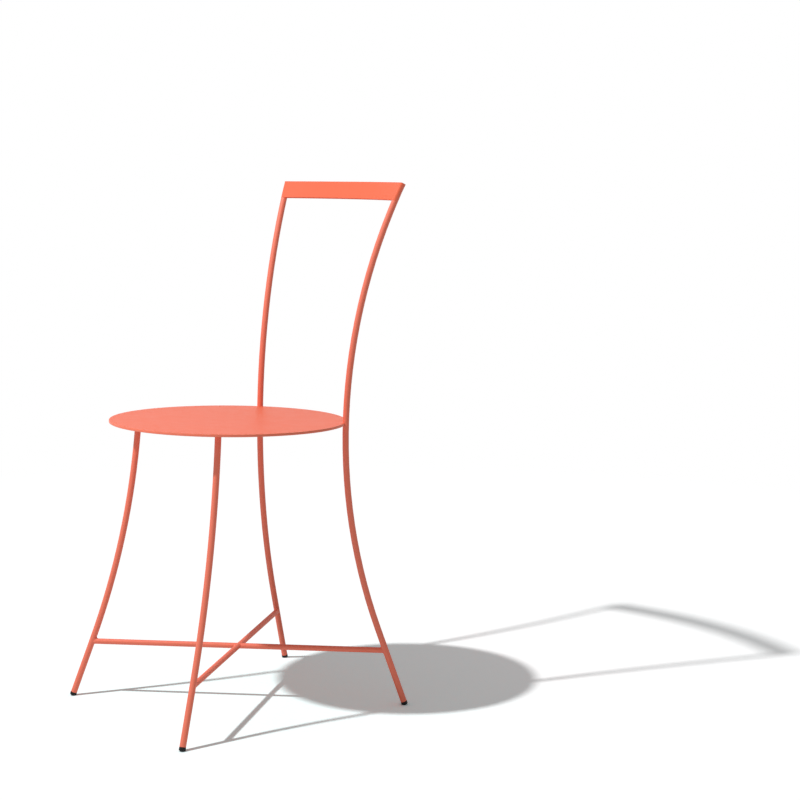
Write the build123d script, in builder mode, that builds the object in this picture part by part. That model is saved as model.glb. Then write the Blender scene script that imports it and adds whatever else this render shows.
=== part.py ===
"""Steel rod chair: a round plate seat on four bent rods, with a curved flat rail as its back."""
import os
from math import asin, atan2, cos, degrees, radians, sin

from build123d import *

# Seat plate
seat_diameter = 375
seat_thickness = 4
seat_height = 460  # top of the seat above the floor, at its middle
seat_rake = 1.15  # degrees by which the seat leans back
seat_edge_round = 0.8

# Legs: each is a bow drawn square to the seat, and straight at its foot
leg_diameter = 10
back_leg_clock = 47  # degrees round the seat from its side towards its back
back_leg_outset = 0.8  # from the rim out to the leg's centre line
waist_drop = 15.8  # from the top of the seat down to where the back leg's two bows meet
back_lower_plan = 59.5  # degrees, the way that the lower bow heads, seen from above
back_lower_radius = 920
back_lower_arc = 20.03  # degrees
back_upper_plan = 63
back_upper_radius = 950
back_upper_arc = 24.35
front_leg_clock = 36.2  # degrees round the seat from its side towards its front
front_leg_inset = 30.9  # from the rim in to the leg's centre line
front_plan = 58.7
front_radius = 1350
front_top_lean = 3.48  # degrees off square where the leg meets the seat
front_foot_lean = 19.29

# Back rail
rail_height = 30
rail_thickness = 4
rail_sagitta = 28  # how far the middle of the rail lies behind its ends
rail_edge_round = 0.8

# Stretchers
stretcher_diameter = 9
stretcher_height = 89.7  # from the floor to the rods' centre lines

# Foot glides
glide_diameter = 10.4
glide_length = 5.4
glide_lift = 0.5  # from the floor to the middle of the glide's end
glide_edge_round = 1.2
stem_diameter = 4
stem_length = 12
stem_clearance = 0.05
stem_hole_spare = 1

# Fillet welds
weld_size = 2.2

# Sizes that follow
seat_radius = seat_diameter / 2
leg_radius = leg_diameter / 2
stretcher_radius = stretcher_diameter / 2
stem_radius = stem_diameter / 2
overrun = 2 * leg_diameter  # how far a cutter or a blank runs past what it works on


def clock_point(radius, angle, height):
    """A point in the seat's frame, given round the seat."""
    return (radius * cos(radians(angle)), radius * sin(radians(angle)), height)


def bow_plane(frame, start, plan_angle):
    """Upright plane of a bow: its x heads outwards, its y is square to the seat."""
    return Plane(frame.location * Location(start, (90, plan_angle, 0)))


def heading(plane, along, up):
    """Direction in space of a direction drawn on a plane."""
    return plane.from_local_coords((along, up)) - plane.origin


def bow_point(plane, radius, first, angle, way):
    """Point of a bow that starts at the plane's origin, leaning by first, where its lean is angle."""
    along = radius * (cos(radians(first)) - cos(radians(angle)))
    up = way * radius * (sin(radians(angle)) - sin(radians(first)))
    return plane.from_local_coords((along, up))


def drop_to(point, direction, height):
    """Point on a straight leg end at a height above the floor."""
    return point + direction * ((height - point.Z) / direction.Z)


def leg_lines(seat_y):
    """Points and directions of the right-hand legs, with the middle of the seat at seat_y."""
    frame = Plane(
        origin=(0, seat_y, seat_height),
        x_dir=(1, 0, 0),
        z_dir=(0, sin(radians(seat_rake)), cos(radians(seat_rake))),
    )
    waist = clock_point(seat_radius + back_leg_outset, back_leg_clock, -waist_drop)
    lower = bow_plane(frame, waist, back_lower_plan)
    upper = bow_plane(frame, waist, back_upper_plan)
    top = clock_point(seat_radius - front_leg_inset, -front_leg_clock, -seat_thickness)
    front = bow_plane(frame, top, -front_plan)
    return frame, lower, upper, front


UP, DOWN = 1, -1
rail_mid_arc = back_upper_arc - degrees(rail_height / 2 / back_upper_radius)

# The origin is on the floor, midway between the chair's reach in front of the seat's middle and behind it
frame, lower, upper, front = leg_lines(0)
front_bend = bow_point(front, front_radius, front_top_lean, front_foot_lean, DOWN)
front_way = heading(front, sin(radians(front_foot_lean)), -cos(radians(front_foot_lean)))
front_reach = glide_diameter / 2 - drop_to(front_bend, front_way, glide_lift).Y
rail_seat = bow_point(upper, back_upper_radius, 0, rail_mid_arc, UP)
post_way = heading(upper, sin(radians(rail_mid_arc)), cos(radians(rail_mid_arc)))
post_lean = radians(post_way.get_angle(Vector(0, 0, 1)))
back_reach = rail_seat.Y + rail_sagitta + rail_height / 2 * sin(post_lean)
seat_y = (front_reach - back_reach) / 2

# Centre lines of the right-hand legs
seat_frame, lower, upper, front = leg_lines(seat_y)
front_bend = bow_point(front, front_radius, front_top_lean, front_foot_lean, DOWN)
front_middle = bow_point(front, front_radius, front_top_lean, (front_top_lean + front_foot_lean) / 2, DOWN)
front_end = drop_to(front_bend, front_way, glide_lift) - front_way * glide_length
front_top_way = heading(front, -sin(radians(front_top_lean)), cos(radians(front_top_lean)))
back_bend = bow_point(lower, back_lower_radius, 0, back_lower_arc, DOWN)
back_middle = bow_point(lower, back_lower_radius, 0, back_lower_arc / 2, DOWN)
back_way = heading(lower, sin(radians(back_lower_arc)), -cos(radians(back_lower_arc)))
back_end = drop_to(back_bend, back_way, glide_lift) - back_way * glide_length
post_spare_arc = back_upper_arc + degrees(leg_diameter / back_upper_radius)
post_middle = bow_point(upper, back_upper_radius, 0, post_spare_arc / 2, UP)
post_spare_top = bow_point(upper, back_upper_radius, 0, post_spare_arc, UP)
post_top = bow_point(upper, back_upper_radius, 0, back_upper_arc, UP)
post_top_way = heading(upper, sin(radians(back_upper_arc)), cos(radians(back_upper_arc)))

# The rail is part of a cone about an upright axis in front of the back, and leans as the back legs do
rail_seat = bow_point(upper, back_upper_radius, 0, rail_mid_arc, UP)
rail_radius = (rail_seat.X**2 + rail_sagitta**2) / (2 * rail_sagitta)
rail_half_angle = degrees(asin(rail_seat.X / rail_radius))
rail_centre = Vector(0, rail_seat.Y + rail_sagitta - rail_radius, rail_seat.Z)
rail_axis = Axis(rail_centre, (0, 0, 1))
rail_outward = Vector(sin(radians(rail_half_angle)), cos(radians(rail_half_angle)), 0)
rail_lean = degrees(atan2(post_way.dot(rail_outward), post_way.Z))
rail_spare_angle = degrees(leg_diameter / rail_radius)


def rail_plane(angle):
    """Upright plane through the rail's axis, at an angle from the middle towards the right."""
    turn = radians(angle)
    return Plane(rail_centre, x_dir=(sin(turn), cos(turn), 0), z_dir=(cos(turn), -sin(turn), 0))


def rail_offset(forward, along):
    """Place on a rail plane, from the back leg's centre line: forward of it and along it."""
    lean = radians(rail_lean)
    return (
        rail_radius - forward * cos(lean) + along * sin(lean),
        forward * sin(lean) + along * cos(lean),
    )


def save(piece, name):
    """Label a piece and write it."""
    piece.label = name
    export_step(piece, f"parts/{name}.step")


def save_pair(piece, name):
    """Write a right-hand piece and its mirror image on the left."""
    save(piece, f"{name}_right")
    with BuildPart() as other_side:
        mirror(piece, about=Plane.YZ)
    save(other_side.part, f"{name}_left")


os.makedirs("parts", exist_ok=True)

# Back legs: the whole rod first, then its foot hole, its top and the halving for the rail
with BuildPart() as back_rod:
    with BuildLine() as back_line:
        Line(back_end, back_bend)
        ThreePointArc(back_bend, back_middle, lower.origin)
        ThreePointArc(lower.origin, post_middle, post_spare_top)
    with BuildSketch(Plane(back_end, z_dir=-back_way)):
        Circle(leg_radius)
    sweep(path=back_line.line)

with BuildPart() as back_leg_right:
    add(back_rod.part)
    split(bisect_by=Plane(post_top, z_dir=post_top_way), keep=Keep.BOTTOM)
    with BuildSketch(rail_plane(rail_half_angle + rail_spare_angle)):
        with Locations(rail_offset(overrun / 2, overrun / 2)):
            Rectangle(overrun, rail_height + overrun, rotation=-rail_lean)
    revolve(axis=rail_axis, revolution_arc=2 * rail_spare_angle, mode=Mode.SUBTRACT)
    with BuildSketch(Plane(back_end, z_dir=-back_way)):
        Circle(stem_radius + stem_clearance)
    extrude(amount=stem_length + stem_hole_spare, mode=Mode.SUBTRACT)
save_pair(back_leg_right.part, "back_leg")

# Front legs, cut off against the underside of the seat
seat_underside = seat_frame.offset(-seat_thickness)
with BuildPart() as front_leg_right:
    with BuildLine() as front_line:
        Line(front_end, front_bend)
        ThreePointArc(front_bend, front_middle, front.origin)
        Line(front.origin, front.origin + front_top_way * leg_diameter)
    with BuildSketch(Plane(front_end, z_dir=-front_way)):
        Circle(leg_radius)
    sweep(path=front_line.line)
    split(bisect_by=seat_underside, keep=Keep.BOTTOM)
    with BuildSketch(Plane(front_end, z_dir=-front_way)):
        Circle(stem_radius + stem_clearance)
    extrude(amount=stem_length + stem_hole_spare, mode=Mode.SUBTRACT)
save_pair(front_leg_right.part, "front_leg")

# Seat plate, notched for the back legs
with BuildPart() as seat_plate:
    with BuildSketch(seat_frame):
        Circle(seat_radius)
    extrude(amount=-seat_thickness)
    fillet(seat_plate.edges(), seat_edge_round)
    add(back_rod.part, mode=Mode.SUBTRACT)
    mirror(back_rod.part, about=Plane.YZ, mode=Mode.SUBTRACT)
save(seat_plate.part, "seat_plate")

# Back rail: the bar between the legs' centre lines, and its ends rounded off flush with the legs
with BuildPart() as rail_end_right:
    with BuildSketch(rail_plane(rail_half_angle + rail_spare_angle)):
        with Locations(rail_offset(rail_thickness / 2, 0)):
            RectangleRounded(rail_thickness, rail_height, rail_edge_round, rotation=-rail_lean)
    revolve(axis=rail_axis, revolution_arc=rail_spare_angle)
    add(back_rod.part, mode=Mode.INTERSECT)

with BuildPart() as back_rail:
    with BuildSketch(rail_plane(rail_half_angle)):
        with Locations(rail_offset(rail_thickness / 2, 0)):
            RectangleRounded(rail_thickness, rail_height, rail_edge_round, rotation=-rail_lean)
    revolve(axis=rail_axis, revolution_arc=2 * rail_half_angle)
    add(rail_end_right.part)
    mirror(rail_end_right.part, about=Plane.YZ)
save(back_rail.part, "back_rail")

# Stretchers: level rods between the legs' centre lines, crossing under the middle
front_joint = drop_to(front_bend, front_way, stretcher_height)
back_joint = drop_to(back_bend, back_way, stretcher_height)
left_front_joint = Vector(-front_joint.X, front_joint.Y, stretcher_height)
left_back_joint = Vector(-back_joint.X, back_joint.Y, stretcher_height)
crossing_share = front_joint.X / (front_joint.X + back_joint.X)
crossing = front_joint + (left_back_joint - front_joint) * crossing_share


def rod_plane(start, end):
    """Section plane of a straight rod at its start."""
    return Plane(start, z_dir=end - start)


with BuildPart() as stretcher_through:
    with BuildSketch(rod_plane(front_joint, left_back_joint)):
        Circle(stretcher_radius)
    extrude(amount=(left_back_joint - front_joint).length)
    add(front_leg_right.part, mode=Mode.SUBTRACT)
    mirror(back_leg_right.part, about=Plane.YZ, mode=Mode.SUBTRACT)
save(stretcher_through.part, "stretcher_through")

with BuildPart() as stretcher_half_front:
    with BuildSketch(rod_plane(left_front_joint, crossing)):
        Circle(stretcher_radius)
    extrude(amount=(crossing - left_front_joint).length)
    mirror(front_leg_right.part, about=Plane.YZ, mode=Mode.SUBTRACT)
    add(stretcher_through.part, mode=Mode.SUBTRACT)
save(stretcher_half_front.part, "stretcher_half_front")

with BuildPart() as stretcher_half_back:
    with BuildSketch(rod_plane(back_joint, crossing)):
        Circle(stretcher_radius)
    extrude(amount=(crossing - back_joint).length)
    add(back_leg_right.part, mode=Mode.SUBTRACT)
    add(stretcher_through.part, mode=Mode.SUBTRACT)
save(stretcher_half_back.part, "stretcher_half_back")


# Foot glides
def build_glide(end, way, name):
    """Head square to the leg, flattened where it stands on the floor, with a stem up into the leg."""
    with BuildPart() as glide:
        with BuildSketch(Plane(end, z_dir=way)):
            Circle(glide_diameter / 2)
        extrude(amount=glide_length)
        fillet(glide.faces().sort_by(Axis.Z)[0].edges(), glide_edge_round)
        split(bisect_by=Plane.XY, keep=Keep.TOP)
        with BuildSketch(Plane(end, z_dir=-way)):
            Circle(stem_radius)
        extrude(amount=stem_length)
    save_pair(glide.part, name)


build_glide(front_end, front_way, "glide_front")
build_glide(back_end, back_way, "glide_back")


# Fillet welds
def weld_rods(main, main_radius, branch, branch_radius):
    """Fillet where a branch rod leaves a main rod, both given by section planes at the joint."""
    with BuildPart() as weld:
        with BuildSketch(main):
            Circle(main_radius)
        extrude(amount=overrun, both=True)
        with BuildSketch(branch):
            Circle(branch_radius)
        extrude(amount=overrun)
        fillet(weld.edges(Select.NEW), weld_size)
        with BuildSketch(main):
            Circle(main_radius)
        extrude(amount=2 * overrun, both=True, mode=Mode.SUBTRACT)
        with BuildSketch(branch):
            Circle(branch_radius)
        extrude(amount=2 * overrun, mode=Mode.SUBTRACT)
    return weld.part


def weld_under_seat(leg_plane):
    """Fillet round a leg, in the corner between it and the underside of the seat."""
    with BuildPart() as weld:
        with BuildSketch(seat_underside):
            with Locations(seat_underside.to_local_coords(leg_plane.origin)):
                Circle(overrun)
        extrude(amount=overrun)
        with BuildSketch(leg_plane.offset(-leg_radius)):
            Circle(leg_radius)
        extrude(amount=overrun)
        fillet(weld.edges(Select.NEW), weld_size)
        split(bisect_by=seat_underside, keep=Keep.BOTTOM)
        with BuildSketch(leg_plane):
            Circle(leg_radius)
        extrude(amount=2 * overrun, both=True, mode=Mode.SUBTRACT)
    return weld.part


save_pair(weld_under_seat(Plane(front.origin, z_dir=-front_top_way)), "weld_front_leg")

rim_lift = waist_drop - seat_thickness
rim_arc = degrees(asin(rim_lift / back_upper_radius))
rim_joint = bow_point(upper, back_upper_radius, 0, rim_arc, UP)
rim_way = heading(upper, sin(radians(rim_arc)), cos(radians(rim_arc)))
with BuildPart() as weld_back_leg_right:
    add(weld_under_seat(Plane(rim_joint, z_dir=-rim_way)))
    with BuildSketch(seat_underside):
        Circle(seat_radius - seat_edge_round)
    extrude(amount=-overrun, mode=Mode.INTERSECT)
save_pair(weld_back_leg_right.part, "weld_back_leg")

# Behind each end of the rail, in the corner between its back and the leg
rail_inward = Vector(-rail_outward.Y, rail_outward.X, 0)
with BuildPart() as weld_rail_right:
    with BuildSketch(Plane(rail_seat, x_dir=rail_inward, z_dir=post_way)):
        with BuildLine():
            Polyline(
                (leg_radius + weld_size, -rail_thickness / 2),
                (leg_radius + weld_size, 0),
                (leg_radius, weld_size),
                (0, weld_size),
                (0, -rail_thickness / 2),
                close=True,
            )
        make_face()
    extrude(amount=rail_height / 2 - weld_size, both=True)
    add(back_rail.part, mode=Mode.SUBTRACT)
    add(back_leg_right.part, mode=Mode.SUBTRACT)
save_pair(weld_rail_right.part, "weld_rail")

left_front_way = Vector(-front_way.X, front_way.Y, front_way.Z)
left_back_way = Vector(-back_way.X, back_way.Y, back_way.Z)
stretcher_welds = {
    "weld_stretcher_front_right": (front_joint, front_way, left_back_joint),
    "weld_stretcher_back_left": (left_back_joint, left_back_way, front_joint),
    "weld_stretcher_front_left": (left_front_joint, left_front_way, crossing),
    "weld_stretcher_back_right": (back_joint, back_way, crossing),
}
for name, (joint, leg_way, far_end) in stretcher_welds.items():
    leg_plane = Plane(joint, z_dir=leg_way)
    save(weld_rods(leg_plane, leg_radius, rod_plane(joint, far_end), stretcher_radius), name)

through_plane = Plane(crossing, z_dir=left_back_joint - front_joint)
for name, far_end in (("weld_crossing_front", left_front_joint), ("weld_crossing_back", back_joint)):
    save(weld_rods(through_plane, stretcher_radius, rod_plane(crossing, far_end), stretcher_radius), name)
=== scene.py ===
import math

import bmesh
import bpy
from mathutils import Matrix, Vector


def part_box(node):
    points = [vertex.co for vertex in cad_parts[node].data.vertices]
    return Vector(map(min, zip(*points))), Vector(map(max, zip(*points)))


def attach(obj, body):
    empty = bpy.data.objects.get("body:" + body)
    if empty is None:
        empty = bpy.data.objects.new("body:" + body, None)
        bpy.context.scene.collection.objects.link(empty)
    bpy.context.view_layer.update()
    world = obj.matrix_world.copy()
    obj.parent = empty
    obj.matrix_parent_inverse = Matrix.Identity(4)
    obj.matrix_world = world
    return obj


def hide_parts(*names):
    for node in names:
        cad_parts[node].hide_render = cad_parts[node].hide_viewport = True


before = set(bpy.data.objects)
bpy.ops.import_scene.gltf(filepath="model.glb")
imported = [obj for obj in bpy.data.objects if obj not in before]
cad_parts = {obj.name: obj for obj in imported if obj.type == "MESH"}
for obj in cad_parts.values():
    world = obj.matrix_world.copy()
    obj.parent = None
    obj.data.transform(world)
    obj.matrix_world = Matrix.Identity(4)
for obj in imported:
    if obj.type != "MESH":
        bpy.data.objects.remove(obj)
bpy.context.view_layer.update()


def middle(node_name):
    """Middle of a node's box."""
    low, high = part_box(node_name)
    return (low + high) / 2


# Places that the frame gives
seat_low, seat_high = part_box("seat_plate")
seat_radius = (seat_high.x - seat_low.x) / 2
under_seat = Vector((middle("seat_plate").x, middle("seat_plate").y, 0))
rail_low, rail_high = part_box("back_rail")

# Camera and lamp, from the floor under the middle of the seat, in metres
CAMERA_PLACE = Vector((2.517, -1.4835, 0.8539))
CAMERA_YAW = math.radians(54.14)
CAMERA_TILT = math.radians(82.88)
CAMERA_LENS = 83.28
SENSOR_WIDTH = 36
LAMP_PLACE = Vector((-0.269, -1.802, 3.07))
LAMP_RADIUS = 0.062
LAMP_POWER = 322

# White stage
WHITE = (1, 1, 1, 1)
SKY_LIGHT = 0.288
SKY_COLOUR = (0.975, 1, 1.005, 1)
FLOOR_SIZE = 12
FLOOR_COLOUR = (0.84, 0.84, 0.84, 1)
FLOOR_WHITE = 1.06
SKY_ON_FLOOR = 0.302
# Tint near the chair: less red against the chair's coral light, and painted light where the seat shades the
# floor
TINT_UNDER_SEAT = (0.905, 1.1, 1.11, 1)
TINT_START = 0.12
TINT_END = 0.55
FADE_START = 1.3
FADE_END = 2.4

# Grain of a baked or moulded skin
PEBBLE_SHARE = 0.3
GLOSS_SHARE = 0.4
PEBBLE_TONE = 0.3
DRIFT_TONE = 0.7
BUMP_STRENGTH = 0.6
NOISE_MIDDLE = 0.5

# Coral powder coat, deeper along the rail's edges, with painted light: a paler coral round the seat's rim and
# on the rods lightens the shade on them
CORAL = (0.905, 0.163, 0.079, 1)
CORAL_DEEP = (0.88, 0.153, 0.072, 1)
# Painted light: the rods and welds take a paler coral than the seat, which lightens their shaded sides
CORAL_PAINTED_FILL_ON_RODS = (0.9, 0.179, 0.096, 1)
CORAL_PAINTED_FILL_ON_RODS_DEEP = (0.875, 0.168, 0.088, 1)
# Painted light: a paler coral that lightens the shaded rim of the seat
CORAL_PAINTED_LIGHT_ON_RIM = (0.96, 0.235, 0.145, 1)
CORAL_ON_RAIL_EDGE = (0.8, 0.13, 0.06, 1)
COAT_DRIFT = 0.045
COAT_GLOSS_SPREAD = 0.05
EDGE_WIDTH = 0.0012
EDGE_WOBBLE = 0.003
SEAT_COAT = {
    "light": CORAL,
    "deep": CORAL_DEEP,
    "specular": 0.19,
    "roughness": 0.46,
    "grain_size": 0.0015,
    "grain_height": 0.00016,
}
RAIL_COAT = {
    "light": CORAL,
    "deep": CORAL_DEEP,
    "specular": 0.25,
    "roughness": 0.6,
    "grain_size": 0.0015,
    "grain_height": 0.00014,
}
ROD_COAT = {
    "light": CORAL_PAINTED_FILL_ON_RODS,
    "deep": CORAL_PAINTED_FILL_ON_RODS_DEEP,
    "specular": 1,
    "roughness": 0.65,
    "grain_size": 0.0013,
    "grain_height": 0.00014,
}
WELD_COAT = {**ROD_COAT, "grain_height": 0.0001}

# Black glides, scuffed at the floor
GLIDE_BLACK = (0.004, 0.004, 0.004, 1)
GLIDE_GREY = (0.009, 0.009, 0.009, 1)
GLIDE_SCUFF = (0.022, 0.022, 0.021, 1)
GLIDE_SPECULAR = 0.2
GLIDE_SMOOTHEST = 0.42
GLIDE_ROUGHEST = 0.56
GLIDE_GRAIN = 0.0005
GLIDE_GRAIN_HEIGHT = 0.0001
GLIDE_DRIFT = 0.004
SCUFF_HEIGHT = 0.0012
SCUFF_ROUGHENING = 0.25

# Weld ripples; RIPPLE_LEVEL is the share of a ripple's height that lies below the plain fillet
RIPPLE_PITCH = 0.0013
RIPPLE_HEIGHT = 0.00012
RIPPLE_LEVEL = 0.6
RING_RADIUS = 0.006
MERGE_GAP = 0.000002
SMOOTH_ANGLE = math.radians(40)


# Nodes that shader and geometry trees share
def link(tree, *pairs):
    """Join output sockets to input sockets."""
    for start, end in pairs:
        tree.links.new(start, end)


def feed(tree, socket, value):
    """Give a socket another socket's output, or a plain value."""
    if isinstance(value, bpy.types.NodeSocket):
        tree.links.new(value, socket)
    else:
        socket.default_value = value


def math_node(tree, operation, *values):
    """Result of a sum on numbers."""
    node = tree.nodes.new("ShaderNodeMath")
    node.operation = operation
    for socket, value in zip(node.inputs, values):
        feed(tree, socket, value)
    return node.outputs[0]


def vector_outputs(tree, operation, *values):
    """Outputs of a sum on vectors."""
    node = tree.nodes.new("ShaderNodeVectorMath")
    node.operation = operation
    for socket, value in zip(node.inputs, values):
        feed(tree, socket, value)
    return node.outputs


def vector_node(tree, operation, *values):
    """Vector that a sum on vectors gives."""
    return vector_outputs(tree, operation, *values)["Vector"]


def vector_measure(tree, operation, *values):
    """Number that a sum on vectors gives."""
    return vector_outputs(tree, operation, *values)["Value"]


def scaled(tree, vector, factor):
    """A vector times a number."""
    result = vector_node(tree, "SCALE", vector)
    feed(tree, result.node.inputs["Scale"], factor)
    return result


def progress(tree, value, start, end):
    """0 up to start, rising to 1 at end and beyond."""
    node = tree.nodes.new("ShaderNodeMapRange")
    feed(tree, node.inputs["Value"], value)
    feed(tree, node.inputs["From Min"], start)
    feed(tree, node.inputs["From Max"], end)
    return node.outputs["Result"]


def spread(tree, value, low, high):
    """A value from 0 to 1, spread from low to high."""
    node = tree.nodes.new("ShaderNodeMapRange")
    feed(tree, node.inputs["Value"], value)
    feed(tree, node.inputs["To Min"], low)
    feed(tree, node.inputs["To Max"], high)
    return node.outputs["Result"]


def colour_mix(tree, share, first, second):
    """The first colour where share is 0 and the second where it is 1."""
    node = tree.nodes.new("ShaderNodeMix")
    node.data_type = "RGBA"
    feed(tree, node.inputs["Factor"], share)
    colours = [socket for socket in node.inputs if socket.type == "RGBA"]
    feed(tree, colours[0], first)
    feed(tree, colours[1], second)
    return next(socket for socket in node.outputs if socket.type == "RGBA")


def shader_mix(tree, share, first, second):
    """The first shader where share is 0 and the second where it is 1."""
    node = tree.nodes.new("ShaderNodeMixShader")
    link(tree, (share, node.inputs["Fac"]), (first, node.inputs[1]), (second, node.inputs[2]))
    return node.outputs[0]


def object_place(tree):
    """Object coordinates, which are the frame's own."""
    return tree.nodes.new("ShaderNodeTexCoord").outputs["Object"]


def seen_directly(tree):
    """1 on camera, glossy and transmission rays, which show the white backdrop as it is."""
    path = tree.nodes.new("ShaderNodeLightPath")
    direct = math_node(tree, "MAXIMUM", path.outputs["Is Camera Ray"], path.outputs["Is Glossy Ray"])
    return math_node(tree, "MAXIMUM", direct, path.outputs["Is Transmission Ray"])


def new_material(name):
    """A material and its node tree."""
    material = bpy.data.materials.new(name)
    material.use_nodes = True
    return material, material.node_tree


# Stage: white world, white floor that keeps the shadow, one lamp, the camera
def make_world():
    world = bpy.data.worlds.new("studio")
    world.use_nodes = True
    tree = world.node_tree
    backdrop = tree.nodes["Background"]
    direct = seen_directly(tree)
    link(
        tree,
        (colour_mix(tree, direct, SKY_COLOUR, WHITE), backdrop.inputs["Color"]),
        (spread(tree, direct, SKY_LIGHT, 1), backdrop.inputs["Strength"]),
    )
    bpy.context.scene.world = world


def floor_paint():
    """White paint that keeps shadows, fades into the backdrop far out and is clear from below."""
    material, tree = new_material("white_floor")
    tree.nodes.remove(tree.nodes["Principled BSDF"])
    place = object_place(tree)
    direct = seen_directly(tree)

    # A point lamp lights a floor by power * height / (4 * pi^2 * distance^3), which falls off over it,
    # so the white that is seen rises by as much and stays even
    lamp_distance = vector_measure(tree, "DISTANCE", place, under_seat + LAMP_PLACE)
    falloff = math_node(tree, "POWER", lamp_distance, 3)
    lamplight = math_node(tree, "DIVIDE", LAMP_POWER * LAMP_PLACE.z / (2 * math.pi) ** 2, falloff)
    even_white = math_node(tree, "DIVIDE", FLOOR_WHITE, math_node(tree, "ADD", lamplight, SKY_ON_FLOOR))

    # Near the chair a tint balances the coral light that the chair throws on the floor, and paints back light
    # where the seat shades the floor round it
    from_seat = vector_measure(tree, "DISTANCE", place, under_seat)
    beyond_seat = progress(tree, from_seat, TINT_START, TINT_END)
    tint = colour_mix(tree, beyond_seat, TINT_UNDER_SEAT, WHITE)

    paint = tree.nodes.new("ShaderNodeBsdfDiffuse")
    feed(tree, paint.inputs["Color"], colour_mix(tree, direct, FLOOR_COLOUR, scaled(tree, tint, even_white)))
    white = tree.nodes.new("ShaderNodeEmission")
    far_out = progress(tree, vector_measure(tree, "LENGTH", place), FADE_START, FADE_END)
    faded = shader_mix(tree, math_node(tree, "MULTIPLY", far_out, direct), paint.outputs[0], white.outputs[0])
    clear = tree.nodes.new("ShaderNodeBsdfTransparent")
    underside = tree.nodes.new("ShaderNodeNewGeometry").outputs["Backfacing"]
    from_below = math_node(tree, "MULTIPLY", underside, direct)
    surface = shader_mix(tree, from_below, faded, clear.outputs[0])
    link(tree, (surface, tree.nodes["Material Output"].inputs["Surface"]))
    return material


def make_floor():
    mesh = bpy.data.meshes.new("floor")
    shape = bmesh.new()
    bmesh.ops.create_grid(shape, x_segments=1, y_segments=1, size=FLOOR_SIZE / 2)
    shape.to_mesh(mesh)
    shape.free()
    mesh.materials.append(floor_paint())
    floor = bpy.data.objects.new("floor", mesh)
    bpy.context.scene.collection.objects.link(floor)


def make_lamp():
    lamp = bpy.data.lights.new("key", "POINT")
    lamp.energy = LAMP_POWER
    lamp.shadow_soft_size = LAMP_RADIUS
    key = bpy.data.objects.new("key", lamp)
    key.location = under_seat + LAMP_PLACE
    bpy.context.scene.collection.objects.link(key)


def make_camera():
    camera = bpy.data.cameras.new("camera")
    camera.sensor_width = SENSOR_WIDTH
    camera.lens = CAMERA_LENS
    eye = bpy.data.objects.new("camera", camera)
    eye.location = under_seat + CAMERA_PLACE
    eye.rotation_euler = (CAMERA_TILT, 0, CAMERA_YAW)
    bpy.context.scene.collection.objects.link(eye)
    bpy.context.scene.camera = eye


# Effects that several finishes share
def new_group(name, inputs, outputs):
    """A shader node group with number sockets, and its input and output nodes."""
    group = bpy.data.node_groups.new(name, "ShaderNodeTree")
    for socket in inputs:
        group.interface.new_socket(socket, in_out="INPUT", socket_type="NodeSocketFloat")
    for socket in outputs:
        group.interface.new_socket(socket, in_out="OUTPUT", socket_type="NodeSocketFloat")
    return group, group.nodes.new("NodeGroupInput"), group.nodes.new("NodeGroupOutput")


def noise(tree, place, size, detail):
    """Soft noise whose lumps are about size across, in metres."""
    node = tree.nodes.new("ShaderNodeTexNoise")
    node.inputs["Detail"].default_value = detail
    link(tree, (place, node.inputs["Vector"]))
    feed(tree, node.inputs["Scale"], math_node(tree, "DIVIDE", 1, size))
    return node.outputs["Fac"]


def make_surface_grain():
    """Soft lumps and fine pebbles of a skin, with slow drifts of its tone and of its gloss."""
    group, given, result = new_group(
        "surface_grain", ("Grain Size", "Drift Size"), ("Height", "Tone", "Gloss")
    )
    grain_size = given.outputs["Grain Size"]
    drift_size = given.outputs["Drift Size"]
    place = object_place(group)
    lumps = noise(group, place, grain_size, detail=1)
    pebbles = noise(group, place, math_node(group, "MULTIPLY", grain_size, PEBBLE_SHARE), detail=1)
    drift = noise(group, place, drift_size, detail=3)
    gloss = noise(group, place, math_node(group, "MULTIPLY", drift_size, GLOSS_SHARE), detail=2)
    slow_tone = math_node(group, "MULTIPLY", drift, DRIFT_TONE)
    link(
        group,
        (math_node(group, "MULTIPLY_ADD", pebbles, PEBBLE_SHARE, lumps), result.inputs["Height"]),
        (math_node(group, "MULTIPLY_ADD", pebbles, PEBBLE_TONE, slow_tone), result.inputs["Tone"]),
        (gloss, result.inputs["Gloss"]),
    )
    return group


def make_edge_mask():
    """1 at an edge, falling to 0 at Width inside it. Across is how far a point lies inside the edge."""
    group, given, result = new_group("edge_mask", ("Across", "Width", "Raggedness"), ("Mask",))
    lumps = noise(group, object_place(group), EDGE_WOBBLE, detail=3)
    wobble = math_node(group, "SUBTRACT", lumps, NOISE_MIDDLE)
    across = math_node(
        group, "MULTIPLY_ADD", wobble, given.outputs["Raggedness"], given.outputs["Across"]
    )
    mask = spread(group, across, 1, 0)
    mask.node.interpolation_type = "SMOOTHSTEP"
    link(
        group,
        (given.outputs["Width"], mask.node.inputs["From Max"]),
        (mask, result.inputs["Mask"]),
    )
    return group


def place_group(tree, group, **values):
    """Outputs of a group, with its inputs set by name; an underscore stands for a space."""
    node = tree.nodes.new("ShaderNodeGroup")
    node.node_tree = group
    for name, value in values.items():
        feed(tree, node.inputs[name.replace("_", " ")], value)
    return node.outputs


def finish_skin(tree, colour, roughness, grain, grain_height):
    """Give a material's skin its colour, its roughness and the bumps of its grain."""
    skin = tree.nodes["Principled BSDF"]
    bump = tree.nodes.new("ShaderNodeBump")
    bump.inputs["Strength"].default_value = BUMP_STRENGTH
    bump.inputs["Distance"].default_value = grain_height
    link(
        tree,
        (colour, skin.inputs["Base Color"]),
        (roughness, skin.inputs["Roughness"]),
        (grain["Height"], bump.inputs["Height"]),
        (bump.outputs["Normal"], skin.inputs["Normal"]),
    )


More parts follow.
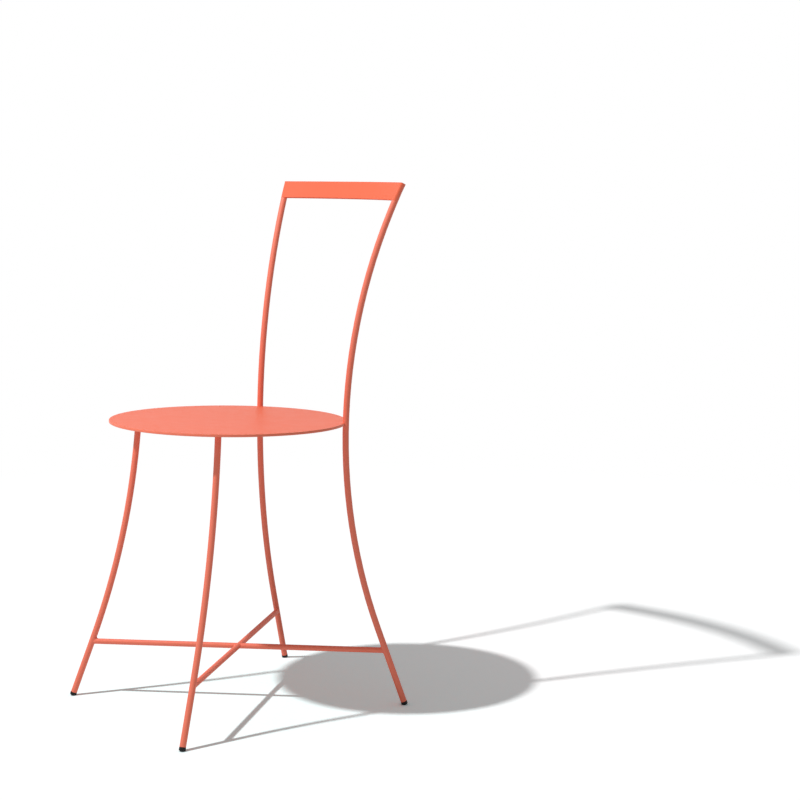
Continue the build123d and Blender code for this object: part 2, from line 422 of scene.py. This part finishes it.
# Finishes
def coral_coat(
    name, light, deep, specular, roughness, grain_size, grain_height, across=None, edge_colour=None
):
    """Satin coral powder coat. across makes the socket that says how far a point lies inside an edge."""
    material, tree = new_material(name)
    tree.nodes["Principled BSDF"].inputs["Specular IOR Level"].default_value = specular
    grain = place_group(tree, surface_grain, Grain_Size=grain_size, Drift_Size=COAT_DRIFT)
    colour = colour_mix(tree, grain["Tone"], light, deep)
    if across is not None:
        edge = place_group(
            tree, edge_mask, Across=across(tree), Width=EDGE_WIDTH, Raggedness=EDGE_WIDTH / 2
        )
        colour = colour_mix(tree, edge["Mask"], colour, edge_colour)
    gloss = spread(tree, grain["Gloss"], roughness - COAT_GLOSS_SPREAD, roughness + COAT_GLOSS_SPREAD)
    finish_skin(tree, colour, gloss, grain, grain_height)
    return material


def inside_seat_rim(tree):
    """How far a point lies inside the rim of the seat."""
    flat = vector_node(tree, "MULTIPLY_ADD", object_place(tree), (1, 1, 0), -under_seat)
    return math_node(tree, "SUBTRACT", seat_radius, vector_measure(tree, "LENGTH", flat))


def object_height(tree):
    """How high a point lies above the floor."""
    parts = tree.nodes.new("ShaderNodeSeparateXYZ")
    link(tree, (object_place(tree), parts.inputs[0]))
    return parts.outputs["Z"]


def inside_rail_edge(tree):
    """How far a point lies below the rail's top edge or above its bottom edge, whichever is nearer."""
    height = object_height(tree)
    below_top = math_node(tree, "SUBTRACT", rail_high.z, height)
    above_bottom = math_node(tree, "SUBTRACT", height, rail_low.z)
    return math_node(tree, "MINIMUM", below_top, above_bottom)


def glide_plastic():
    """Moulded black plastic, scuffed grey where it rubs the floor."""
    material, tree = new_material("black_glide")
    tree.nodes["Principled BSDF"].inputs["Specular IOR Level"].default_value = GLIDE_SPECULAR
    grain = place_group(tree, surface_grain, Grain_Size=GLIDE_GRAIN, Drift_Size=GLIDE_DRIFT)
    scuff = place_group(
        tree, edge_mask, Across=object_height(tree), Width=SCUFF_HEIGHT, Raggedness=SCUFF_HEIGHT
    )
    moulded = colour_mix(tree, grain["Tone"], GLIDE_BLACK, GLIDE_GREY)
    colour = colour_mix(tree, scuff["Mask"], moulded, GLIDE_SCUFF)
    gloss = spread(tree, grain["Gloss"], GLIDE_SMOOTHEST, GLIDE_ROUGHEST)
    worn = math_node(tree, "MULTIPLY_ADD", scuff["Mask"], SCUFF_ROUGHENING, gloss)
    finish_skin(tree, colour, worn, grain, GLIDE_GRAIN_HEIGHT)
    return material


# Weld beads: the fillets of the frame, with the ripples that the weld pool leaves
def make_ripple_tree():
    """Raises ripples on a weld, counted round its axis and along it."""
    tree = bpy.data.node_groups.new("weld_ripples", "GeometryNodeTree")
    tree.is_modifier = True
    tree.interface.new_socket("Geometry", in_out="INPUT", socket_type="NodeSocketGeometry")
    for name in ("Centre", "Axis", "Side"):
        tree.interface.new_socket(name, in_out="INPUT", socket_type="NodeSocketVector")
    for name in ("Ripples Round", "Ripples Per Metre", "Ripple Height"):
        tree.interface.new_socket(name, in_out="INPUT", socket_type="NodeSocketFloat")
    tree.interface.new_socket("Finish", in_out="INPUT", socket_type="NodeSocketMaterial")
    tree.interface.new_socket("Geometry", in_out="OUTPUT", socket_type="NodeSocketGeometry")
    given = tree.nodes.new("NodeGroupInput").outputs
    result = tree.nodes.new("NodeGroupOutput").inputs

    # Where a point lies: its turn round the axis, and how far along the axis
    position = tree.nodes.new("GeometryNodeInputPosition").outputs[0]
    from_centre = vector_node(tree, "SUBTRACT", position, given["Centre"])
    other_side = vector_node(tree, "CROSS_PRODUCT", given["Axis"], given["Side"])
    turn = math_node(
        tree,
        "ARCTAN2",
        vector_measure(tree, "DOT_PRODUCT", from_centre, other_side),
        vector_measure(tree, "DOT_PRODUCT", from_centre, given["Side"]),
    )
    along = vector_measure(tree, "DOT_PRODUCT", from_centre, given["Axis"])

    # Scallops: each half wave of a sine, without its sign, is one ripple
    phase_per_radian = math_node(tree, "DIVIDE", given["Ripples Round"], 2)
    phase_per_metre = math_node(tree, "MULTIPLY", given["Ripples Per Metre"], math.pi)
    round_phase = math_node(tree, "MULTIPLY", turn, phase_per_radian)
    phase = math_node(tree, "MULTIPLY_ADD", along, phase_per_metre, round_phase)
    wave = math_node(tree, "ABSOLUTE", math_node(tree, "SINE", phase))
    scallop = math_node(tree, "SUBTRACT", wave, RIPPLE_LEVEL)
    normal = tree.nodes.new("GeometryNodeInputNormal").outputs[0]
    rise = scaled(tree, normal, math_node(tree, "MULTIPLY", scallop, given["Ripple Height"]))

    merged = tree.nodes.new("GeometryNodeMergeByDistance")
    merged.inputs["Distance"].default_value = MERGE_GAP
    moved = tree.nodes.new("GeometryNodeSetPosition")
    smooth = tree.nodes.new("GeometryNodeSetShadeSmooth")
    creased = tree.nodes.new("GeometryNodeSetShadeSmooth")
    creased.domain = "EDGE"
    creased.inputs["Shade Smooth"].default_value = False
    edge_angle = tree.nodes.new("GeometryNodeInputMeshEdgeAngle").outputs["Unsigned Angle"]
    realized = tree.nodes.new("GeometryNodeRealizeInstances")
    finish = tree.nodes.new("GeometryNodeSetMaterial")
    link(
        tree,
        (given["Geometry"], merged.inputs["Geometry"]),
        (merged.outputs["Geometry"], moved.inputs["Geometry"]),
        (rise, moved.inputs["Offset"]),
        (moved.outputs["Geometry"], smooth.inputs["Geometry"]),
        (smooth.outputs["Geometry"], creased.inputs["Geometry"]),
        (math_node(tree, "GREATER_THAN", edge_angle, SMOOTH_ANGLE), creased.inputs["Selection"]),
        (creased.outputs["Geometry"], realized.inputs["Geometry"]),
        (realized.outputs["Geometry"], finish.inputs["Geometry"]),
        (given["Finish"], finish.inputs["Material"]),
        (finish.outputs["Geometry"], result["Geometry"]),
    )
    return tree


def make_bead(node_name, axis, round_the_rod):
    """A rippled copy of a weld node, which stands for it."""
    axis = axis.normalized()
    values = {
        "Centre": middle(node_name),
        "Axis": axis,
        "Side": axis.orthogonal().normalized(),
        "Ripples Round": round(2 * math.pi * RING_RADIUS / RIPPLE_PITCH) if round_the_rod else 0,
        "Ripples Per Metre": 0 if round_the_rod else 1 / RIPPLE_PITCH,
        "Ripple Height": RIPPLE_HEIGHT,
        "Finish": weld_coat,
    }
    source = bpy.data.objects.new("weld_source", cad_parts[node_name].data.copy())
    bpy.context.scene.collection.objects.link(source)
    modifier = source.modifiers.new("ripples", "NODES")
    modifier.node_group = ripple_tree
    for socket in ripple_tree.interface.items_tree:
        if socket.in_out == "INPUT" and socket.name in values:
            modifier[socket.identifier] = values[socket.name]
    evaluated = source.evaluated_get(bpy.context.evaluated_depsgraph_get())
    mesh = bpy.data.meshes.new_from_object(evaluated)
    bpy.data.objects.remove(source)
    mesh.name = f"{node_name}_bead"
    bead = bpy.data.objects.new(mesh.name, mesh)
    bpy.context.scene.collection.objects.link(bead)
    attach(bead, "root")
    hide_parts(node_name)


def make_beads():
    """A bead for every weld: along the rail's ends, and round the rods elsewhere."""
    upright = Vector((0, 0, 1))
    low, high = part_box("stretcher_through")
    through_way = Vector((low.x - high.x, high.y - low.y, 0))
    halves_way = Vector((high.x - low.x, high.y - low.y, 0))
    for side in ("left", "right"):
        for leg in ("front_leg", "back_leg"):
            make_bead(f"weld_{leg}_{side}", upright, round_the_rod=True)
        make_bead(f"weld_rail_{side}", upright, round_the_rod=False)
    for name, way in (
        ("weld_stretcher_front_right", through_way),
        ("weld_stretcher_back_left", through_way),
        ("weld_stretcher_front_left", halves_way),
        ("weld_stretcher_back_right", halves_way),
        ("weld_crossing_front", halves_way),
        ("weld_crossing_back", halves_way),
    ):
        make_bead(name, way, round_the_rod=True)


bpy.context.scene.view_settings.view_transform = "Standard"
make_world()
make_floor()
make_lamp()
make_camera()

surface_grain = make_surface_grain()
edge_mask = make_edge_mask()
# The seat's rim is painted paler, as painted light that lightens its shade
seat_coat = coral_coat(
    "coral_coat_seat", **SEAT_COAT, across=inside_seat_rim, edge_colour=CORAL_PAINTED_LIGHT_ON_RIM
)
rail_coat = coral_coat(
    "coral_coat_rail", **RAIL_COAT, across=inside_rail_edge, edge_colour=CORAL_ON_RAIL_EDGE
)
# Rods and welds carry painted light: a paler coral than the seat's
rod_coat = coral_coat("coral_coat_rods", **ROD_COAT)
weld_coat = coral_coat("coral_coat_welds", **WELD_COAT)
plastic = glide_plastic()

ripple_tree = make_ripple_tree()
make_beads()

for name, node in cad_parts.items():
    finish = rod_coat
    if name == "seat_plate":
        finish = seat_coat
    elif name == "back_rail":
        finish = rail_coat
    elif name.startswith("glide"):
        finish = plastic
    node.data.materials.clear()
    node.data.materials.append(finish)
